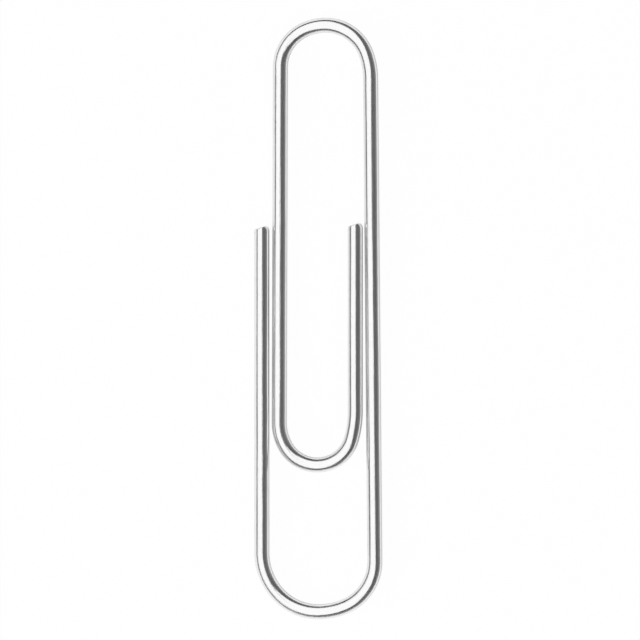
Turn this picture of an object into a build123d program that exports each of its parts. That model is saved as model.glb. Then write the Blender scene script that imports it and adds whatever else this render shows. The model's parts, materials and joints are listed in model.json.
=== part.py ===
"""A paper clip: one length of plated steel wire, bent flat into three nested bends.

The clip lies on the XY plane with +Z up, its length along Y and the origin under its middle. From its
outer cut end the wire runs down the outer leg, round the bottom bend, up the long leg, over the top
bend, down the tongue leg, round the inner bend and up the inner leg to its other cut end.

The wire is one piece. It is divided where it twists in use, at the crown of each bend, and where a
straight leg meets a bend, so each leg and each half bend is a solid of its own. Neighbours meet face
to face on the wire's round section.
"""

from build123d import *

import os
from enum import IntEnum
from math import asin, atan2, cos, degrees, hypot, pi, radians, sin, tan
from typing import NamedTuple

# The wire and the gaps between legs that lie side by side, in millimetres
wire_diameter = 1.25
outer_gap = 0.2
inner_gap = 0.13

# The outline, over the outside of the wire
clip_length = 50.0
clip_width = 10.64
top_loop_width = 8.75
top_loop_inset = 0.09
tongue_length = 37.8
outer_arm_length = 32.6
inner_arm_length = 20.65

# Each half bend: the crown arc turns through an angle, then the shoulder arc finishes the turn
bottom_left_crown_turn = 47.0
bottom_left_shoulder_radius = 5.14
bottom_right_crown_turn = 22.0
bottom_right_shoulder_radius = 4.07
top_right_crown_turn = 70.5
top_right_shoulder_radius = 6.3
top_left_crown_turn = 24.0
top_left_shoulder_radius = 3.42
inner_left_crown_turn = 58.0
inner_left_shoulder_radius = 4.0
inner_right_crown_turn = 75.0
inner_right_shoulder_radius = 9.0

# The cut ends: sheared aslant, with their right-hand side rolled over and their rim rounded
shear_angle = 18.0
shear_roll_width = 0.34
shear_roll_length = 0.58
shear_rim_radius = 0.08

RIGHT_ANGLE = degrees(pi / 2)

# A cut's outline stands this many wire radii from the centre line, just clear of the wire's sides
CUT_MARGIN = 1.05


class Side(IntEnum):
    """The side of its crown on which a half bend lies."""

    LEFT = -1
    RIGHT = 1


class Legs(IntEnum):
    """The way a bend's legs leave it along Y."""

    DOWN = -1
    UP = 1


class HalfBend(NamedTuple):
    """Half a bend on the wire's centre line, from the crown to the point where its leg begins."""

    crown: tuple
    side: Side
    legs: Legs
    reach: float
    crown_turn: float
    shoulder_radius: float

    @property
    def crown_radius(self):
        """The crown radius with which the two arcs span the reach from crown to leg."""
        turned = sin(radians(self.crown_turn))
        return (self.reach - self.shoulder_radius * (1 - turned)) / turned

    @property
    def shoulder_centre(self):
        """The centre of the shoulder arc, across the clip and along it."""
        across = self.reach - self.shoulder_radius
        step = (self.shoulder_radius - self.crown_radius) * cos(radians(self.crown_turn))
        along = self.crown_radius + step
        return self.crown[0] + self.side * across, self.crown[1] + self.legs * along

    def draw(self, lean=0.0):
        """Draws the two arcs, for a leg that leans outwards going down by a small angle."""
        turn = RIGHT_ANGLE + self.legs * lean
        sense = self.side * self.legs
        crown_arc = JernArc(self.crown, (self.side, 0), self.crown_radius, sense * self.crown_turn)
        JernArc(
            crown_arc @ 1, crown_arc % 1, self.shoulder_radius, sense * (turn - self.crown_turn)
        )


def leg_lean(upper, lower):
    """The outward lean, in degrees, of the straight leg that touches an upper and a lower shoulder."""
    upper_x, upper_y = upper.shoulder_centre
    lower_x, lower_y = lower.shoulder_centre
    across = upper.side * (upper_x - lower_x)
    along = upper_y - lower_y
    radius_step = lower.shoulder_radius - upper.shoulder_radius
    return degrees(asin(radius_step / hypot(across, along)) - atan2(across, along))


# Heights of the crowns and cut ends along the clip, on the wire's centre line
wire_radius = wire_diameter / 2
top_crown_y = clip_length / 2 - wire_radius
bottom_crown_y = wire_radius - clip_length / 2
inner_crown_y = clip_length / 2 - tongue_length + wire_radius
outer_end_y = outer_arm_length - clip_length / 2
inner_end_y = inner_crown_y - wire_radius + inner_arm_length

# Places of the bends' sides across the clip, on the wire's centre line
bottom_reach = clip_width / 2 - wire_radius
outer_leg_x = -bottom_reach
inner_left_x = outer_leg_x + wire_diameter + outer_gap
top_left_x = inner_left_x + top_loop_inset
top_reach = (top_loop_width - wire_diameter) / 2

# The top and bottom bends, and the long leg that touches the right-hand shoulders of both
bottom_crown = (outer_leg_x + bottom_reach, bottom_crown_y)
top_crown = (top_left_x + top_reach, top_crown_y)
bottom_left = HalfBend(
    bottom_crown, Side.LEFT, Legs.UP, bottom_reach, bottom_left_crown_turn, bottom_left_shoulder_radius
)
bottom_right = HalfBend(
    bottom_crown, Side.RIGHT, Legs.UP, bottom_reach, bottom_right_crown_turn, bottom_right_shoulder_radius
)
top_right = HalfBend(
    top_crown, Side.RIGHT, Legs.DOWN, top_reach, top_right_crown_turn, top_right_shoulder_radius
)
top_left = HalfBend(
    top_crown, Side.LEFT, Legs.DOWN, top_reach, top_left_crown_turn, top_left_shoulder_radius
)
long_leg_lean = leg_lean(top_right, bottom_right)


def long_leg_x(y):
    """The long leg's place across the clip at a height along it, on the centre line."""
    upper_x, upper_y = top_right.shoulder_centre
    lean = radians(long_leg_lean)
    return upper_x + top_right_shoulder_radius / cos(lean) + (upper_y - y) * tan(lean)


# The inner leg stands beside the long leg, and keeps its gap where the two come closest
closest_x = min(long_leg_x(inner_end_y), long_leg_x(inner_crown_y))
inner_leg_x = closest_x - (wire_diameter + inner_gap) / cos(radians(long_leg_lean))

# The inner bend, and the tongue leg that touches the left-hand shoulders of the top and inner bends
inner_reach = (inner_leg_x - inner_left_x) / 2
inner_crown = (inner_left_x + inner_reach, inner_crown_y)
inner_left = HalfBend(
    inner_crown, Side.LEFT, Legs.UP, inner_reach, inner_left_crown_turn, inner_left_shoulder_radius
)
inner_right = HalfBend(
    inner_crown, Side.RIGHT, Legs.UP, inner_reach, inner_right_crown_turn, inner_right_shoulder_radius
)
tongue_leg_lean = leg_lean(top_left, inner_left)

wire_plane = Plane.XY.offset(wire_radius)


def sweep_wire(path):
    """Sweeps the wire's round section along a drawn path."""
    with BuildSketch(Plane(path.line @ 0, z_dir=path.line % 0)) as section:
        Circle(wire_radius)
    sweep(section.sketch, path=path.wire())


def shear_end(leg, x, y):
    """Cuts a leg aslant through a point on its centre line, and rolls its right-hand side over."""
    slope = tan(radians(shear_angle))
    side = CUT_MARGIN * wire_radius
    low = leg.part.bounding_box().min.Y - wire_diameter
    roll_turn = pi / 2 + atan2(shear_roll_width * slope, shear_roll_length)
    roll_x = x + side - shear_roll_width
    roll_end_x = roll_x + shear_roll_width * cos(roll_turn)
    roll_y = y + (roll_end_x - x) * slope - shear_roll_length * sin(roll_turn)
    with BuildSketch(wire_plane) as outline:
        with BuildLine():
            roll = EllipticalCenterArc(
                (roll_x, roll_y), shear_roll_width, shear_roll_length, arc_size=degrees(roll_turn)
            )
            Polyline(
                roll @ 1, (x - side, y - side * slope), (x - side, low), (x + side, low), roll @ 0
            )
        make_face()
    extrude(outline.sketch, amount=wire_diameter, both=True, mode=Mode.INTERSECT)
    rim = leg.edges().filter_by(GeomType.LINE, reverse=True)
    fillet(rim.filter_by_position(Axis.Y, y - wire_diameter, y + wire_diameter), shear_rim_radius)


# Bottom bend
with BuildPart() as bottom_bend_left:
    with BuildLine(wire_plane) as bottom_left_path:
        bottom_left.draw()
    sweep_wire(bottom_left_path)

with BuildPart() as bottom_bend_right:
    with BuildLine(wire_plane) as bottom_right_path:
        bottom_right.draw(long_leg_lean)
    sweep_wire(bottom_right_path)

# Top bend
with BuildPart() as top_bend_right:
    with BuildLine(wire_plane) as top_right_path:
        top_right.draw(long_leg_lean)
    sweep_wire(top_right_path)

with BuildPart() as top_bend_left:
    with BuildLine(wire_plane) as top_left_path:
        top_left.draw(tongue_leg_lean)
    sweep_wire(top_left_path)

# Inner bend
with BuildPart() as inner_bend_left:
    with BuildLine(wire_plane) as inner_left_path:
        inner_left.draw(tongue_leg_lean)
    sweep_wire(inner_left_path)

with BuildPart() as inner_bend_right:
    with BuildLine(wire_plane) as inner_right_path:
        inner_right.draw()
    sweep_wire(inner_right_path)

# Straight legs between two bends
with BuildPart() as long_leg:
    with BuildLine(wire_plane) as long_leg_path:
        Line(bottom_right_path.line @ 1, top_right_path.line @ 1)
    sweep_wire(long_leg_path)

with BuildPart() as tongue_leg:
    with BuildLine(wire_plane) as tongue_leg_path:
        Line(top_left_path.line @ 1, inner_left_path.line @ 1)
    sweep_wire(tongue_leg_path)

# Free legs, drawn one wire's width past their cut ends and then sheared
with BuildPart() as outer_leg:
    with BuildLine(wire_plane) as outer_leg_path:
        Line(bottom_left_path.line @ 1, Vector(outer_leg_x, outer_end_y + wire_diameter, wire_radius))
    sweep_wire(outer_leg_path)
    shear_end(outer_leg, outer_leg_x, outer_end_y)

with BuildPart() as inner_leg:
    with BuildLine(wire_plane) as inner_leg_path:
        Line(inner_right_path.line @ 1, Vector(inner_leg_x, inner_end_y + wire_diameter, wire_radius))
    sweep_wire(inner_leg_path)
    shear_end(inner_leg, inner_leg_x, inner_end_y)

sections = {
    "outer_leg": outer_leg,
    "bottom_bend_left": bottom_bend_left,
    "bottom_bend_right": bottom_bend_right,
    "long_leg": long_leg,
    "top_bend_right": top_bend_right,
    "top_bend_left": top_bend_left,
    "tongue_leg": tongue_leg,
    "inner_bend_left": inner_bend_left,
    "inner_bend_right": inner_bend_right,
    "inner_leg": inner_leg,
}
os.makedirs("parts", exist_ok=True)
for name, section in sections.items():
    section.part.label = name
    export_step(section.part, f"parts/{name}.step")
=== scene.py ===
"""Looks of a paper clip of bright plated wire, with its bends, legs and sheared ends, on a white table.

The file is laid out as a Blender add-on and is run as a script. The wire is drawn the way it is bent: its
round section starts at one place on the centre line, is extruded along the straight legs and spun round
the bends. All lengths are in metres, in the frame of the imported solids.
"""

import json
import math
from typing import NamedTuple

import bpy
from bpy.props import FloatProperty, FloatVectorProperty, IntProperty, PointerProperty
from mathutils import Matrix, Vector


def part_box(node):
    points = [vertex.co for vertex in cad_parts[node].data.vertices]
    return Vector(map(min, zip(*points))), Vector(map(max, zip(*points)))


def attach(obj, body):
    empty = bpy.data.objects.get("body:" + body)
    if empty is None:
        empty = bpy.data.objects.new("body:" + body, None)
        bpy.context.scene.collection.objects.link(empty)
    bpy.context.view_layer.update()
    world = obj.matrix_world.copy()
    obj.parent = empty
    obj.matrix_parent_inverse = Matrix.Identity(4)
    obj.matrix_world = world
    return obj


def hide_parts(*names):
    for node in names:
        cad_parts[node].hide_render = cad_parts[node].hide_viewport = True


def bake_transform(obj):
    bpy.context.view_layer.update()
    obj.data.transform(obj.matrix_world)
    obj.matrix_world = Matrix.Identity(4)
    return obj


bl_info = {
    "name": "Paper Clip",
    "version": (1, 0, 0),
    "blender": (4, 5, 0),
    "location": "View3D > Sidebar > Paper Clip",
    "description": "Models a bent wire paper clip over its packed solids",
    "category": "Object",
}

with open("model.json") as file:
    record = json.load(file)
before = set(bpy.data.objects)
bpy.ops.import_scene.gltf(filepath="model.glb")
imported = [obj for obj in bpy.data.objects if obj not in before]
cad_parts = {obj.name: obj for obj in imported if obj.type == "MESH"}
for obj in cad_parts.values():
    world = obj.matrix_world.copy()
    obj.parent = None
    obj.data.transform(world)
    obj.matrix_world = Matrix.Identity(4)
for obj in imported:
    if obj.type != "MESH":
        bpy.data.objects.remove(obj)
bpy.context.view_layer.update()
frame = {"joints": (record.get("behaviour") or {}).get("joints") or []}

MILLIMETRE = 0.001
QUARTER_TURN = math.pi / 2
WHITE = (1.0, 1.0, 1.0, 1.0)
WHOLE_RANGE = (0.0, 1.0)

# The crowns of the three bends are the places of the sprung hinges, at the height of the wire's centre
hinge_places = {joint["name"]: Vector(joint["pos_m"]) for joint in frame["joints"]}
top_crown = hinge_places["tongue_spring"]
bottom_crown = hinge_places["outer_end_spring"]
inner_crown = hinge_places["inner_end_spring"]
wire_radius = bottom_crown.z


def middle_across(node):
    """The middle of a solid across the clip."""
    low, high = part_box(node)
    return (low.x + high.x) / 2


# How far each bend reaches from its crown to either side, on the wire's centre line
outer_leg_x = middle_across("outer_leg")
inner_leg_x = middle_across("inner_leg")
top_left_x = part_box("top_bend_left")[0].x + wire_radius
bottom_reach = bottom_crown.x - outer_leg_x
inner_reach = inner_leg_x - inner_crown.x
top_reach = top_crown.x - top_left_x

# The length of wire by which a bend runs on into its legs
LEAD = 0.1 * MILLIMETRE

# The outline of a rolled side starts this many wire radii from the centre line, just clear of the wire
ROLL_MARGIN = 1.05

# The share of a cut end's depth within which its rings take on the full slant of the cut
SLANTED_BY = 0.5

# Spinning the wire's section about this axis turns the wire to the left
SPIN_AXIS = (0, 0, -1)

# Faces that meet at less than this angle look like one smooth face
SMOOTH_ANGLE = math.radians(30)

# The point attributes that hold each point's place on the straightened wire, and the way the wire runs
WIRE_PLACE = "wire_place"
WIRE_HEADING = "wire_heading"

# The point attribute that holds how light the collar's painted reflection is
PAINTED_REFLECTION_TONE = "painted_reflection_tone"


class CollarSide(NamedTuple):
    """The collar of painted reflection in one direction round the clip from +X: where its edge stands and
    its painted tones.
    """

    direction: float
    edge: float
    edge_tone: float
    foot_tone: float


# Directions, and the edge's angle from overhead, are in degrees
# Painted reflection: these tones paint the dark bands and grey rims that the wire mirrors
COLLAR = (
    CollarSide(-180, 68, 0.44, 0.30),
    CollarSide(-120, 65, 0.18, 0.44),
    CollarSide(-90, 55, 0.10, 0.66),
    CollarSide(-30, 28, 0.20, 0.34),
    CollarSide(-2, 1, 0.24, 0.60),
    CollarSide(20, 1, 0.25, 0.58),
    CollarSide(45, 36, 0.18, 0.36),
    CollarSide(60, 48, 0.16, 0.28),
    CollarSide(90, 61, 0.08, 0.09),
    CollarSide(120, 64, 0.24, 0.16),
    CollarSide(180, 68, 0.44, 0.30),
)

# The angle from overhead of the collar's foot, at the table, in degrees
COLLAR_FOOT = 90

# The angle from overhead down to which the collar keeps the tone of its edge, in degrees
COLLAR_SHOULDER = 53

# Where the edge stands lower than that, a strip of this many degrees keeps its tone
COLLAR_STRIP = 1


class Grain(NamedTuple):
    """The size of a noise's grains along each axis, in millimetres, and its finer detail."""

    size: tuple
    detail: float


# The grains of the plating lie leftwards, upwards and along the straightened wire
DIE_LINE_GRAIN = Grain((0.08, 0.08, 8.0), 1.0)
PLATING_GRAIN = Grain((0.22, 0.22, 0.4), 2.0)
WAVE_GRAIN = Grain((2.5, 2.5, 4.0), 1.0)

# The grains of a cut face lie across, along and up the clip
SHEAR_MARK_GRAIN = Grain((0.5, 0.5, 0.06), 3.0)
PIT_GRAIN = Grain((0.08, 0.08, 0.08), 2.0)

# The levels of noise from which and up to which the plating clouds, pits give way to bare steel, and
# shear marks grow rougher
CLOUDING = (0.5, 0.75)
PITTING = (0.35, 0.65)
TEARING = (0.3, 0.7)

# The roughness of the sheared steel, at the least and the most torn
CUT_ROUGHNESS = (0.3, 0.5)

# The part of a whole turn from the way the wire runs to the way its die lines blur reflections
ACROSS_THE_WIRE = 0.25


def angle(name, description, degrees):
    """A property for an angle."""
    return FloatProperty(
        name=name, description=description, default=math.radians(degrees), subtype="ANGLE"
    )


def crown_turn(place, degrees):
    """A property for the angle of the arc next to a crown."""
    about = "Angle of the arc next to the crown, before the shoulder arc takes over"
    return angle(f"{place} crown turn", about, degrees)


def count(name, description, default):
    """A property for a number of sides or steps."""
    return IntProperty(name=name, description=description, default=default, min=8)


def amount(name, description, default):
    """A property for an amount that is never negative."""
    return FloatProperty(name=name, description=description, default=default, min=0.0)


def stage_length(name, description, metres):
    """A property for a length on the stage."""
    return FloatProperty(name=name, description=description, default=metres, unit="LENGTH")


def wire_length(name, description, millimetres):
    """A property for a length on the wire."""
    return FloatProperty(
        name=name,
        description=description,
        default=millimetres * MILLIMETRE,
        unit="LENGTH",
        precision=6,
    )


def shoulder_radius(place, millimetres):
    """A property for the radius of the arc next to a leg."""
    about = "Radius of the wire's centre line where the bend runs into its leg"
    return wire_length(f"{place} shoulder radius", about, millimetres)


def grey(name, description, level):
    """A property for a neutral colour."""
    return FloatVectorProperty(
        name=name,
        description=description,
        default=(level, level, level),
        subtype="COLOR",
        min=0.0,
        max=1.0,
    )


def share(name, description, default):
    """A property for a share of a whole."""
    return FloatProperty(
        name=name, description=description, default=default, subtype="FACTOR", min=0.0, max=1.0
    )


def lamp_place(name, place):
    """A property for the place of a lamp."""
    return FloatVectorProperty(
        name=name,
        description="Where the lamp hangs",
        default=place,
        subtype="TRANSLATION",
        unit="LENGTH",
    )


class ClipShape(bpy.types.PropertyGroup):
    """Sizes of the bent wire that the solids' boxes and hinges don't give."""

    bottom_left_turn: crown_turn("Bottom left", 47.0)
    bottom_left_shoulder: shoulder_radius("Bottom left", 5.14)
    bottom_right_turn: crown_turn("Bottom right", 22.0)
    bottom_right_shoulder: shoulder_radius("Bottom right", 4.07)
    top_right_turn: crown_turn("Top right", 70.5)
    top_right_shoulder: shoulder_radius("Top right", 6.3)
    top_left_turn: crown_turn("Top left", 24.0)
    top_left_shoulder: shoulder_radius("Top left", 3.42)
    inner_left_turn: crown_turn("Inner left", 58.0)
    inner_left_shoulder: shoulder_radius("Inner left", 4.0)
    inner_right_turn: crown_turn("Inner right", 75.0)
    inner_right_shoulder: shoulder_radius("Inner right", 9.0)
    outer_arm: wire_length(
        "Outer arm", "From the outside of the bottom bend to the middle of the outer cut end", 32.6
    )
    inner_arm: wire_length(
        "Inner arm", "From the outside of the inner bend to the middle of the inner cut end", 20.65
    )
    shear_angle: angle("Shear angle", "Slant of the two cut ends, which rise to the right", 18.0)
    roll_width: wire_length(
        "Roll width", "Width of the side that the shear rolls over at a cut end", 0.34
    )
    roll_length: wire_length(
        "Roll length", "Length of the side that the shear rolls over at a cut end", 0.58
    )
    rim_radius: wire_length("Rim", "Rounding along the rest of a cut end's edge", 0.08)
    sides: count("Sides of the wire", "Number of faces round the wire", 64)
    arc_step: angle("Arc step", "Turn of the wire between two rings of a bend", 2.0)
    leg_step: wire_length("Leg step", "Length of wire between two rings of a leg", 2.5)
    end_steps: count("Steps of a cut end", "Number of rings of the rolled length at a cut end", 40)


class ClipFinish(bpy.types.PropertyGroup):
    """Colours and surface of the plated wire and of its bare cut ends."""

    plating: grey("Plating", "Colour of the bright nickel plating", 0.97)
    dull_plating: grey("Dull plating", "Colour where the plating has clouded", 0.93)
    bare_steel: grey("Bare steel", "Colour of the sheared steel", 0.42)
    pit_tone: share(
        "Pit tone", "How bright the pits of the sheared steel are beside the rest of it", 0.6
    )
    roughness: share("Roughness", "Roughness of the plating", 0.13)
    line_blur: share(
        "Line blur", "How much more the die lines blur reflections across the wire", 0.8
    )
    die_line_depth: wire_length(
        "Die line depth", "Depth of the fine lines that drawing leaves", 0.007
    )
    grain_depth: wire_length("Grain depth", "Depth of the plating's fine unevenness", 0.003)
    wave_depth: wire_length("Wave depth", "Depth of the wire's long, slight waves", 0.03)
    shear_mark_depth: wire_length("Shear mark depth", "Depth of the marks across a cut end", 0.03)


class StageLook(bpy.types.PropertyGroup):
    """Table, light and camera."""

    table: grey("Table", "Colour of the table", 0.84)
    table_size: stage_length("Table size", "Width of the table", 6.0)
    table_gap: wire_length("Table gap", "How far the table lies below the wire", 0.002)
    table_glow: share(
        "Table glow",
        "Share of the table's look that is its own white, which keeps its shadow faint",
        0.98,
    )
    mirrored_glow: share("Mirrored glow", "The same share, as the wire mirrors the table", 0.2)
    surround: amount(
        "Surround", "Brightness of the white surround, as the camera and the wire see it", 1.0
    )
    fill_light: amount("Fill light", "Strength of the even light that the surround gives", 0.4)
    left_lamp_power: amount(
        "Left lamp power", "Power of the soft lamp at the left, in watts", 4.3
    )
    right_lamp_power: amount(
        "Right lamp power", "Power of the soft lamp at the front right, in watts", 0.8
    )
    left_lamp_place: lamp_place("Left lamp place", (-0.56, -0.16, 0.34))
    right_lamp_place: lamp_place("Right lamp place", (0.32, -0.34, 0.36))
    lamp_size: stage_length("Lamp size", "Width of each soft lamp", 0.3)
    # The collar holds painted reflection: grey sheets that only the wire mirrors, painting the dark bands
    # of shade on it
    collar_radius: stage_length("Collar radius", "Radius of the paper collar round the table", 1.5)
    collar_sides: count("Collar sides", "Number of flat sides of the paper collar", 180)
    lens: FloatProperty(
        name="Lens",
        description="Focal length of the camera, in millimetres",
        default=600.0,
        min=1.0,
    )
    nearest_view: stage_length("Nearest view", "Nearest that the camera can see a thing", 0.01)
    view_width: wire_length("View width", "Width of the picture at the clip", 53.19)
    view_centre: FloatVectorProperty(
        name="View centre",
        description="Place across and along the clip at the middle of the picture",
        default=(0.137 * MILLIMETRE, -0.12 * MILLIMETRE),
        size=2,
        unit="LENGTH",
        precision=6,
    )


def ahead_of(heading):
    """The direction of a heading on the table."""
    return Vector((math.cos(heading), math.sin(heading), 0))


def left_of(heading):
    """The direction to the left of a heading on the table."""
    return Vector((-math.sin(heading), math.cos(heading), 0))


class Stretch(NamedTuple):
    """A straight or left-turning stretch of the centre line, and the length of wire before it."""

    start: Vector
    heading: float
    length: float
    turn: float
    before: float
    steps: int

    @property
    def centre(self):
        """The middle of the arc that a turning stretch follows."""
        return self.start + self.length / self.turn * left_of(self.heading)

    @property
    def end(self):
        """The last point of the stretch."""
        if not self.turn:
            return self.start + self.length * ahead_of(self.heading)
        return self.centre - self.length / self.turn * left_of(self.heading + self.turn)

    def straighten(self, point):
        """A point's place on the wire as if it were pulled straight: leftwards, upwards and along."""
        if self.turn:
            radius = self.length / self.turn
            arm = (point - self.centre).xy
            turned = arm.angle_signed(-left_of(self.heading).xy)
            left = radius - arm.length
            along = radius * turned
        else:
            left = (point - self.start).dot(left_of(self.heading))
            along = (point - self.start).dot(ahead_of(self.heading))
        return Vector((left, point.z - wire_radius, self.before + along))

    def ahead(self, place):
        """The way the wire runs at a place on the straightened wire."""
        return ahead_of(self.heading + self.turn * (place.z - self.before) / self.length)

    def misfit(self, point):
        """How far a point of the wire's surface is from lying on this stretch."""
        place = self.straighten(point)
        beyond = abs(place.z - self.before - self.length / 2) - self.length / 2
        return max(beyond, 0.0) + abs(place.xy.length - wire_radius)


class HalfBend(NamedTuple):
    """Half a bend, as the two arcs between its crown and its leg."""

    crown: Vector
    side: int
    legs: int
    reach: float
    turn: float
    shoulder: float

    @property
    def crown_radius(self):
        """The radius at the crown with which the two arcs span the reach."""
        turned = math.sin(self.turn)
        return (self.reach - self.shoulder * (1 - turned)) / turned

    @property
    def shoulder_centre(self):
        """The centre of the shoulder arc."""
        step = (self.shoulder - self.crown_radius) * math.cos(self.turn)
        across = self.side * (self.reach - self.shoulder)
        along = self.legs * (self.crown_radius + step)
        return self.crown + Vector((across, along, 0))


class WireLine:
    """The centre line of the wire as it is laid down, stretch by stretch, from the outer cut end."""

    def __init__(self, shape, place, heading):
        self.shape = shape
        self.place = place
        self.heading = heading
        self.laid = 0.0

    def lay(self, length, turn, steps):
        """Lays one more stretch and moves on to its end."""
        stretch = Stretch(self.place, self.heading, length, turn, self.laid, max(1, round(steps)))
        self.place = stretch.end
        self.heading += turn
        self.laid += length
        return stretch

    def leg(self, end, short_of_end):
        """A straight leg that stops a little short of a point."""
        length = (end - self.place).length - short_of_end
        return self.lay(length, 0.0, length / self.shape.leg_step)

    def leg_to_bend(self, half):
        """A straight leg up to the lead of the half bend that follows it."""
        return self.leg(half.shoulder_centre - half.shoulder * left_of(self.heading), LEAD)

    def bend(self, first, last, lean_in, lean_out):
        """The four arcs of a bend between two legs that lean a little, with its leads."""
        arcs = (
            (first.shoulder, QUARTER_TURN + lean_in - first.turn),
            (first.crown_radius, first.turn),
            (last.crown_radius, last.turn),
            (last.shoulder, QUARTER_TURN + lean_out - last.turn),
        )
        route = [self.lay(LEAD, 0.0, 1)]
        for radius, turn in arcs:
            route.append(self.lay(radius * turn, turn, turn / self.shape.arc_step))
        route.append(self.lay(LEAD, 0.0, 1))
        return route


def eased(share_along):
    """A share from 0 to 1 that starts and stops gently."""
    return share_along * share_along * (3 - 2 * share_along)


class CutEnd:
    """A cut end in plan, from the middle of the cut: a slant with its right-hand side rolled over."""

    def __init__(self, shape):
        self.width = shape.roll_width
        self.length = shape.roll_length
        self.rim = shape.rim_radius
        self.slope = math.tan(shape.shear_angle)
        self.turn = QUARTER_TURN + math.atan2(self.width * self.slope, self.length)
        self.roll_x = ROLL_MARGIN * wire_radius - self.width
        end_x = self.roll_x + self.width * math.cos(self.turn)
        self.depth = self.length * math.sin(self.turn) - end_x * self.slope

    def shaped(self, across, height, share_along):
        """The place of a point of the straight wire, by its share of the way through the cut's depth."""
        rolled = share_along * self.turn
        right = min(wire_radius, self.roll_x + self.width * math.cos(rolled))
        slope = self.slope * eased(min(1.0, share_along / SLANTED_BY))
        middle = self.length * math.sin(rolled) - self.depth - slope * right
        x = across * right / wire_radius if across > 0 else across
        below_cut = max(0.0, (self.slope - slope) * x - middle)
        into_rim = max(0.0, 1 - below_cut / self.rim)
        inset = self.rim * (1 - math.sqrt(1 - into_rim * into_rim))
        kept = 1 - inset / wire_radius
        x = x if across > 0 else x * kept
        return Vector((x, middle + slope * x, height * kept))


def leg_lean(upper, lower):
    """The outward lean, going down, of the straight leg that touches an upper and a lower shoulder."""
    step = upper.shoulder_centre - lower.shoulder_centre
    across = upper.side * step.x
    radius_step = lower.shoulder - upper.shoulder
    return math.asin(radius_step / step.length) - math.atan2(across, step.y)


def bend_halves(shape):
    """The six half bends, by name."""
    bends = {
        "bottom": (bottom_crown, 1, bottom_reach),
        "top": (top_crown, -1, top_reach),
        "inner": (inner_crown, 1, inner_reach),
    }
    halves = {}
    for bend, (crown, legs, reach) in bends.items():
        for hand, side in (("left", -1), ("right", 1)):
            name = f"{bend}_{hand}"
            turn = getattr(shape, f"{name}_turn")
            shoulder = getattr(shape, f"{name}_shoulder")
            halves[name] = HalfBend(crown, side, legs, reach, turn, shoulder)
    return halves


def outer_end(shape):
    """The middle of the outer cut end."""
    return Vector((outer_leg_x, bottom_crown.y - wire_radius + shape.outer_arm, wire_radius))


def inner_end(shape):
    """The middle of the inner cut end."""
    return Vector((inner_leg_x, inner_crown.y - wire_radius + shape.inner_arm, wire_radius))


def wire_routes(shape):
    """The stretches of centre line of each piece, from the outer cut end to the inner one."""
    halves = bend_halves(shape)
    long_lean = leg_lean(halves["top_right"], halves["bottom_right"])
    tongue_lean = leg_lean(halves["top_left"], halves["inner_left"])
    cut_depth = CutEnd(shape).depth
    line = WireLine(shape, outer_end(shape), -QUARTER_TURN)
    return {
        "outer_leg": [
            line.lay(cut_depth, 0.0, shape.end_steps),
            line.leg_to_bend(halves["bottom_left"]),
        ],
        "bottom_bend": line.bend(halves["bottom_left"], halves["bottom_right"], 0.0, long_lean),
        "long_leg": [line.leg_to_bend(halves["top_right"])],
        "top_bend": line.bend(halves["top_right"], halves["top_left"], -long_lean, -tongue_lean),
        "tongue_leg": [line.leg_to_bend(halves["inner_left"])],
        "inner_bend": line.bend(halves["inner_left"], halves["inner_right"], tongue_lean, 0.0),
        "inner_leg": [
            line.leg(inner_end(shape), cut_depth),
            line.lay(cut_depth, 0.0, shape.end_steps),
        ],
    }


def draw_wire(name, route, shape):
    """Draws the wire's round section along a route, with closed ends."""
    first = route[0]
    bpy.ops.object.select_all(action="DESELECT")
    bpy.ops.mesh.primitive_circle_add(
        vertices=shape.sides,
        radius=wire_radius,
        fill_type="NOTHING",
        location=first.start,
        rotation=(QUARTER_TURN, 0, first.heading + QUARTER_TURN),
    )
    piece = bpy.context.object
    piece.name = name
    bpy.ops.object.transform_apply(location=True, rotation=True, scale=True)
    bpy.ops.object.mode_set(mode="EDIT")
    bpy.ops.mesh.select_all(action="SELECT")
    for stretch in route:
        if stretch.turn:
            bpy.ops.mesh.spin(
                steps=stretch.steps, angle=stretch.turn, center=stretch.centre, axis=SPIN_AXIS
            )
            continue
        step = stretch.length / stretch.steps * ahead_of(stretch.heading)
        for _ in range(stretch.steps):
            bpy.ops.mesh.extrude_region_move(TRANSFORM_OT_translate={"value": step})
    bpy.ops.mesh.select_all(action="SELECT")
    bpy.ops.mesh.fill_holes(sides=0)
    bpy.ops.mesh.normals_make_consistent(inside=False)
    bpy.ops.object.mode_set(mode="OBJECT")
    return piece


def finish_wire(piece, route):
    """Smooths the wire, notes where each point lies along it and which way it runs, and plates it."""
    bpy.ops.object.shade_smooth_by_angle(angle=SMOOTH_ANGLE)
    places = []
    headings = []
    for vertex in piece.data.vertices:
        stretch = min(route, key=lambda candidate: candidate.misfit(vertex.co))
        place = stretch.straighten(vertex.co)
        places.extend(place)
        headings.extend(stretch.ahead(place))
    for name, values in ((WIRE_PLACE, places), (WIRE_HEADING, headings)):
        attribute = piece.data.attributes.new(name, "FLOAT_VECTOR", "POINT")
        attribute.data.foreach_set("vector", values)
    piece.data.materials.append(bright_nickel(bpy.context.scene.clip_finish))


def shear_end(piece, end, shape):
    """Drags the rings at a leg's free end into a slanted cut, and leaves the cut face bare steel."""
    cut = CutEnd(shape)
    for vertex in piece.data.vertices:
        place = vertex.co - end
        share_along = 1 + place.y / cut.depth
        if share_along > 0:
            vertex.co = end + cut.shaped(place.x, place.z, share_along)
    piece.data.materials.append(sheared_steel(bpy.context.scene.clip_finish))
    bpy.ops.object.mode_set(mode="EDIT")
    bpy.ops.mesh.select_all(action="DESELECT")
    bpy.ops.object.mode_set(mode="OBJECT")
    cut_face = max(piece.data.polygons, key=lambda face: (face.loop_total, face.center.y))
    cut_face.select = True
    piece.active_material_index = len(piece.data.materials) - 1
    bpy.ops.object.mode_set(mode="EDIT")
    bpy.ops.object.material_slot_assign()
    bpy.ops.object.mode_set(mode="OBJECT")


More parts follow.
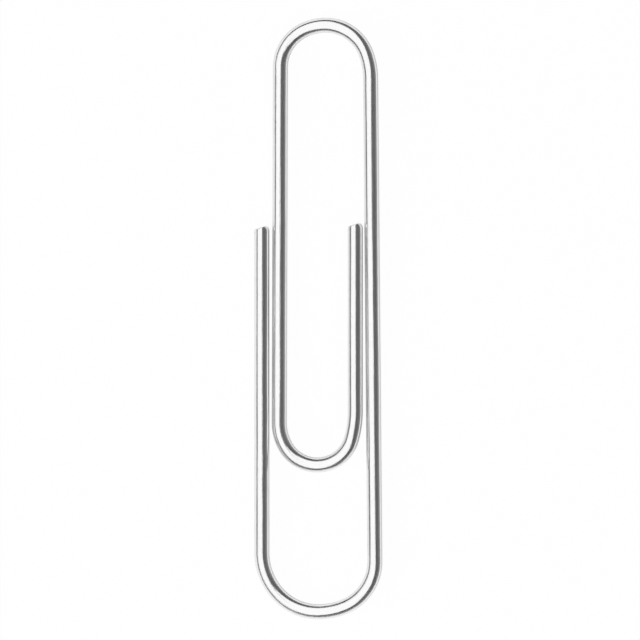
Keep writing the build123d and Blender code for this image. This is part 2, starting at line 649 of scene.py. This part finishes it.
def add_node(tree, kind, inputs=None, **settings):
    """Adds a shader node, sets its settings, and sets or links its inputs."""
    node = tree.nodes.new(kind)
    for name, value in settings.items():
        setattr(node, name, value)
    for socket, value in (inputs or {}).items():
        if isinstance(value, bpy.types.NodeSocket):
            tree.links.new(value, node.inputs[socket])
        else:
            node.inputs[socket].default_value = value
    return node


def new_material(name):
    """An empty node material and its output node."""
    material = bpy.data.materials.new(name)
    material.use_nodes = True
    material.node_tree.nodes.clear()
    return material, add_node(material.node_tree, "ShaderNodeOutputMaterial")


def grained_noise(tree, place, grain):
    """Noise with grains of a given size along each axis of a place."""
    scale = [1 / (size * MILLIMETRE) for size in grain.size]
    scaled = add_node(tree, "ShaderNodeMapping", {"Vector": place, "Scale": scale})
    noise = add_node(
        tree,
        "ShaderNodeTexNoise",
        {"Vector": scaled.outputs["Vector"], "Scale": 1.0, "Detail": grain.detail},
    )
    return noise.outputs["Fac"]


def ranged(tree, value, from_range, to_range):
    """A value, brought from one range into another."""
    inputs = {"Value": value}
    for name, ends in (("From", from_range), ("To", to_range)):
        inputs[f"{name} Min"], inputs[f"{name} Max"] = ends
    return add_node(tree, "ShaderNodeMapRange", inputs).outputs["Result"]


def bumped(tree, *layers):
    """The normal of a surface with several layers of noise, each with its depth."""
    height = 0.0
    for noise, depth in layers:
        inputs = {0: noise, 1: depth, 2: height}
        layer = add_node(tree, "ShaderNodeMath", inputs, operation="MULTIPLY_ADD")
        height = layer.outputs["Value"]
    bump = add_node(tree, "ShaderNodeBump", {"Height": height, "Distance": 1.0, "Strength": 1.0})
    return bump.outputs["Normal"]


def bright_nickel(finish):
    """Bright nickel on drawn wire: fine die lines, a slight grain, long waves and a little clouding."""
    if "bright_nickel" in bpy.data.materials:
        return bpy.data.materials["bright_nickel"]
    material, output = new_material("bright_nickel")
    tree = material.node_tree
    place = add_node(tree, "ShaderNodeAttribute", attribute_name=WIRE_PLACE).outputs["Vector"]
    heading = add_node(tree, "ShaderNodeAttribute", attribute_name=WIRE_HEADING).outputs["Vector"]
    lines = grained_noise(tree, place, DIE_LINE_GRAIN)
    grain = grained_noise(tree, place, PLATING_GRAIN)
    waves = grained_noise(tree, place, WAVE_GRAIN)
    colour = add_node(
        tree,
        "ShaderNodeMix",
        {
            "Factor": ranged(tree, grain, CLOUDING, WHOLE_RANGE),
            "A": (*finish.plating, 1.0),
            "B": (*finish.dull_plating, 1.0),
        },
        data_type="RGBA",
    )
    metal = add_node(
        tree,
        "ShaderNodeBsdfPrincipled",
        {
            "Base Color": colour.outputs["Result"],
            "Metallic": 1.0,
            "Roughness": finish.roughness,
            "Anisotropic": finish.line_blur,
            "Anisotropic Rotation": ACROSS_THE_WIRE,
            "Tangent": heading,
            "Normal": bumped(
                tree,
                (lines, finish.die_line_depth),
                (grain, finish.grain_depth),
                (waves, finish.wave_depth),
            ),
        },
    )
    tree.links.new(metal.outputs["BSDF"], output.inputs["Surface"])
    return material


def sheared_steel(finish):
    """Bare steel where the wire was cut, torn in fine marks across the cut."""
    if "sheared_steel" in bpy.data.materials:
        return bpy.data.materials["sheared_steel"]
    material, output = new_material("sheared_steel")
    tree = material.node_tree
    place = add_node(tree, "ShaderNodeTexCoord").outputs["Object"]
    marks = grained_noise(tree, place, SHEAR_MARK_GRAIN)
    pits = grained_noise(tree, place, PIT_GRAIN)
    pitted = [finish.pit_tone * level for level in finish.bare_steel]
    colour = add_node(
        tree,
        "ShaderNodeMix",
        {
            "Factor": ranged(tree, pits, PITTING, WHOLE_RANGE),
            "A": (*pitted, 1.0),
            "B": (*finish.bare_steel, 1.0),
        },
        data_type="RGBA",
    )
    metal = add_node(
        tree,
        "ShaderNodeBsdfPrincipled",
        {
            "Base Color": colour.outputs["Result"],
            "Metallic": 1.0,
            "Roughness": ranged(tree, marks, TEARING, CUT_ROUGHNESS),
            "Normal": bumped(
                tree,
                (marks, finish.shear_mark_depth),
                (pits, finish.grain_depth),
            ),
        },
    )
    tree.links.new(metal.outputs["BSDF"], output.inputs["Surface"])
    return material


class PAPER_CLIP_OT_bends(bpy.types.Operator):
    """Models the bottom, top and inner bends, between the legs they join"""

    bl_idname = "paper_clip.bends"
    bl_label = "Bends"

    def execute(self, context):
        shape = context.scene.clip_shape
        routes = wire_routes(shape)
        twists = (
            ("bottom_bend", bottom_crown, "outer_end", "outer_loop"),
            ("top_bend", top_crown, "outer_loop", "tongue"),
            ("inner_bend", inner_crown, "tongue", "inner_end"),
        )
        for name, crown, body_before, body_after in twists:
            route = routes[name]
            piece = draw_wire(name, route, shape)
            finish_wire(piece, route)
            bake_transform(piece)
            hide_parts(f"{name}_left", f"{name}_right")
        return {"FINISHED"}


class PAPER_CLIP_OT_through_legs(bpy.types.Operator):
    """Models the long leg and the tongue's leg, which join a bend at both ends"""

    bl_idname = "paper_clip.through_legs"
    bl_label = "Through Legs"

    def execute(self, context):
        shape = context.scene.clip_shape
        routes = wire_routes(shape)
        for name, body in (("long_leg", "outer_loop"), ("tongue_leg", "tongue")):
            piece = draw_wire(name, routes[name], shape)
            finish_wire(piece, routes[name])
            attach(piece, body)
            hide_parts(name)
        return {"FINISHED"}


class PAPER_CLIP_OT_cut_legs(bpy.types.Operator):
    """Models the outer and inner legs, whose free ends are sheared aslant"""

    bl_idname = "paper_clip.cut_legs"
    bl_label = "Cut Legs"

    def execute(self, context):
        shape = context.scene.clip_shape
        routes = wire_routes(shape)
        cuts = (
            ("outer_leg", "outer_end", outer_end(shape)),
            ("inner_leg", "inner_end", inner_end(shape)),
        )
        for name, body, end in cuts:
            piece = draw_wire(name, routes[name], shape)
            finish_wire(piece, routes[name])
            shear_end(piece, end, shape)
            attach(piece, body)
            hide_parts(name)
        return {"FINISHED"}


def table_material(look):
    """White table that the camera sees nearly evenly lit, with a faint shadow."""
    material, output = new_material("white_table")
    tree = material.node_tree
    rays = add_node(tree, "ShaderNodeLightPath").outputs
    mirrored = add_node(
        tree,
        "ShaderNodeMath",
        {0: rays["Is Glossy Ray"], 1: rays["Is Transmission Ray"]},
        operation="MAXIMUM",
    )
    mirrored_share = add_node(
        tree,
        "ShaderNodeMath",
        {0: mirrored.outputs["Value"], 1: look.mirrored_glow},
        operation="MULTIPLY",
    )
    glow = add_node(
        tree,
        "ShaderNodeMath",
        {0: rays["Is Camera Ray"], 1: look.table_glow, 2: mirrored_share.outputs["Value"]},
        operation="MULTIPLY_ADD",
    )
    lit = add_node(tree, "ShaderNodeBsdfDiffuse", {"Color": (*look.table, 1.0)})
    white = add_node(tree, "ShaderNodeEmission", {"Color": WHITE, "Strength": 1.0})
    table = add_node(
        tree,
        "ShaderNodeMixShader",
        {"Fac": glow.outputs["Value"], 1: lit.outputs["BSDF"], 2: white.outputs["Emission"]},
    )
    tree.links.new(table.outputs["Shader"], output.inputs["Surface"])
    return material


def painted_reflection_material():
    """Painted reflection: grey sheets whose tones paint the dark bands of shade that the wire mirrors."""
    material, output = new_material("painted_reflection_card")
    tree = material.node_tree
    tone = add_node(tree, "ShaderNodeAttribute", attribute_name=PAINTED_REFLECTION_TONE).outputs["Fac"]
    paper = add_node(tree, "ShaderNodeBsdfDiffuse", {"Color": tone})
    tree.links.new(paper.outputs["BSDF"], output.inputs["Surface"])
    return material


def collar_side(direction):
    """The collar in a direction round the clip, between the two nearest directions that are given."""
    for before, after in zip(COLLAR, COLLAR[1:]):
        if direction <= after.direction:
            break
    way = (direction - before.direction) / (after.direction - before.direction)
    return CollarSide(*(a + way * (b - a) for a, b in zip(before, after)))


def lay_table(look):
    """Lays the table just under the wire."""
    bpy.ops.object.select_all(action="DESELECT")
    bpy.ops.mesh.primitive_plane_add(size=look.table_size, location=(0, 0, -look.table_gap))
    table = bpy.context.object
    table.name = "table"
    table.data.materials.append(table_material(look))


def stand_collar(look):
    """Stands the collar of painted reflection round the table, which only the wire's mirroring shows: its
    grey tones paint the dark bands of shade on the wire.
    """
    radius = look.collar_radius
    bpy.ops.object.select_all(action="DESELECT")
    bpy.ops.mesh.primitive_circle_add(
        vertices=look.collar_sides, radius=radius, fill_type="NOTHING"
    )
    collar = bpy.context.object
    collar.name = "painted_reflection_collar"
    bpy.ops.object.mode_set(mode="EDIT")
    bpy.ops.mesh.select_all(action="SELECT")
    for _ in ("shoulder", "edge"):
        bpy.ops.mesh.extrude_region_move(TRANSFORM_OT_translate={"value": (0, 0, radius)})
    bpy.ops.object.mode_set(mode="OBJECT")
    # Each ring gets its painted reflection tone: the edge's dark shade down to the shoulder, then the
    # foot's
    tones = []
    for vertex in collar.data.vertices:
        heading = math.atan2(vertex.co.y, vertex.co.x)
        side = collar_side(math.degrees(heading))
        rings = (
            (COLLAR_FOOT, side.foot_tone),
            (max(COLLAR_SHOULDER, side.edge + COLLAR_STRIP), side.edge_tone),
            (side.edge, side.edge_tone),
        )
        from_overhead, tone = rings[round(vertex.co.z / radius)]
        tilt = math.radians(from_overhead)
        vertex.co = radius * (math.sin(tilt) * ahead_of(heading) + Vector((0, 0, math.cos(tilt))))
        tones.append(tone)
    attribute = collar.data.attributes.new(PAINTED_REFLECTION_TONE, "FLOAT", "POINT")
    attribute.data.foreach_set("value", tones)
    collar.data.materials.append(painted_reflection_material())
    collar.visible_camera = False
    collar.visible_diffuse = False
    collar.visible_shadow = False


def hang_lamps(look):
    """Hangs a soft lamp at the left and a weaker one at the front right, which the wire doesn't mirror."""
    lamps = (
        ("left_lamp", look.left_lamp_place, look.left_lamp_power),
        ("right_lamp", look.right_lamp_place, look.right_lamp_power),
    )
    for name, place, power in lamps:
        bpy.ops.object.light_add(type="AREA", location=place)
        lamp = bpy.context.object
        lamp.name = name
        lamp.rotation_euler = (-lamp.location).to_track_quat("-Z", "Y").to_euler()
        lamp.data.energy = power
        lamp.data.size = look.lamp_size
        lamp.visible_glossy = False


def light_surround(scene, look):
    """Surrounds the table with white, which gives an even fill light."""
    world = bpy.data.worlds.new("white_surround")
    world.use_nodes = True
    tree = world.node_tree
    rays = add_node(tree, "ShaderNodeLightPath").outputs
    strength = ranged(
        tree, rays["Is Diffuse Ray"], WHOLE_RANGE, (look.surround, look.fill_light)
    )
    background = tree.nodes["Background"]
    background.inputs["Color"].default_value = WHITE
    tree.links.new(strength, background.inputs["Strength"])
    scene.world = world


def aim_camera(scene, look):
    """Hangs the camera over the clip, looking straight down."""
    camera = bpy.data.objects.new("camera", bpy.data.cameras.new("camera"))
    scene.collection.objects.link(camera)
    camera.data.lens = look.lens
    camera.data.clip_start = look.nearest_view
    distance = look.view_width * look.lens / camera.data.sensor_width
    camera.location = (*look.view_centre, wire_radius + distance)
    scene.camera = camera


class PAPER_CLIP_OT_stage(bpy.types.Operator):
    """Sets out the white table, the collar of painted reflection that the wire mirrors, the light and the
    camera
    """

    bl_idname = "paper_clip.stage"
    bl_label = "Stage"

    def execute(self, context):
        scene = context.scene
        look = scene.clip_stage
        lay_table(look)
        stand_collar(look)
        hang_lamps(look)
        light_surround(scene, look)
        aim_camera(scene, look)
        scene.view_settings.view_transform = "Standard"
        return {"FINISHED"}


class PAPER_CLIP_PT_sidebar(bpy.types.Panel):
    """Lists the steps that model the clip"""

    bl_idname = "PAPER_CLIP_PT_sidebar"
    bl_label = "Paper Clip"
    bl_space_type = "VIEW_3D"
    bl_region_type = "UI"
    bl_category = "Paper Clip"

    def draw(self, context):
        for operator in (
            PAPER_CLIP_OT_bends,
            PAPER_CLIP_OT_through_legs,
            PAPER_CLIP_OT_cut_legs,
            PAPER_CLIP_OT_stage,
        ):
            self.layout.operator(operator.bl_idname)


classes = (
    ClipShape,
    ClipFinish,
    StageLook,
    PAPER_CLIP_OT_bends,
    PAPER_CLIP_OT_through_legs,
    PAPER_CLIP_OT_cut_legs,
    PAPER_CLIP_OT_stage,
    PAPER_CLIP_PT_sidebar,
)


def register():
    """Registers the classes and gives every scene its settings."""
    for cls in classes:
        bpy.utils.register_class(cls)
    bpy.types.Scene.clip_shape = PointerProperty(type=ClipShape)
    bpy.types.Scene.clip_finish = PointerProperty(type=ClipFinish)
    bpy.types.Scene.clip_stage = PointerProperty(type=StageLook)


def unregister():
    """Takes the settings and the classes away again."""
    del bpy.types.Scene.clip_stage
    del bpy.types.Scene.clip_finish
    del bpy.types.Scene.clip_shape
    for cls in reversed(classes):
        bpy.utils.unregister_class(cls)


def main():
    """Models the clip and its stage."""
    register()
    bpy.ops.paper_clip.bends()
    bpy.ops.paper_clip.through_legs()
    bpy.ops.paper_clip.cut_legs()
    bpy.ops.paper_clip.stage()


if __name__ == "__main__":
    main()
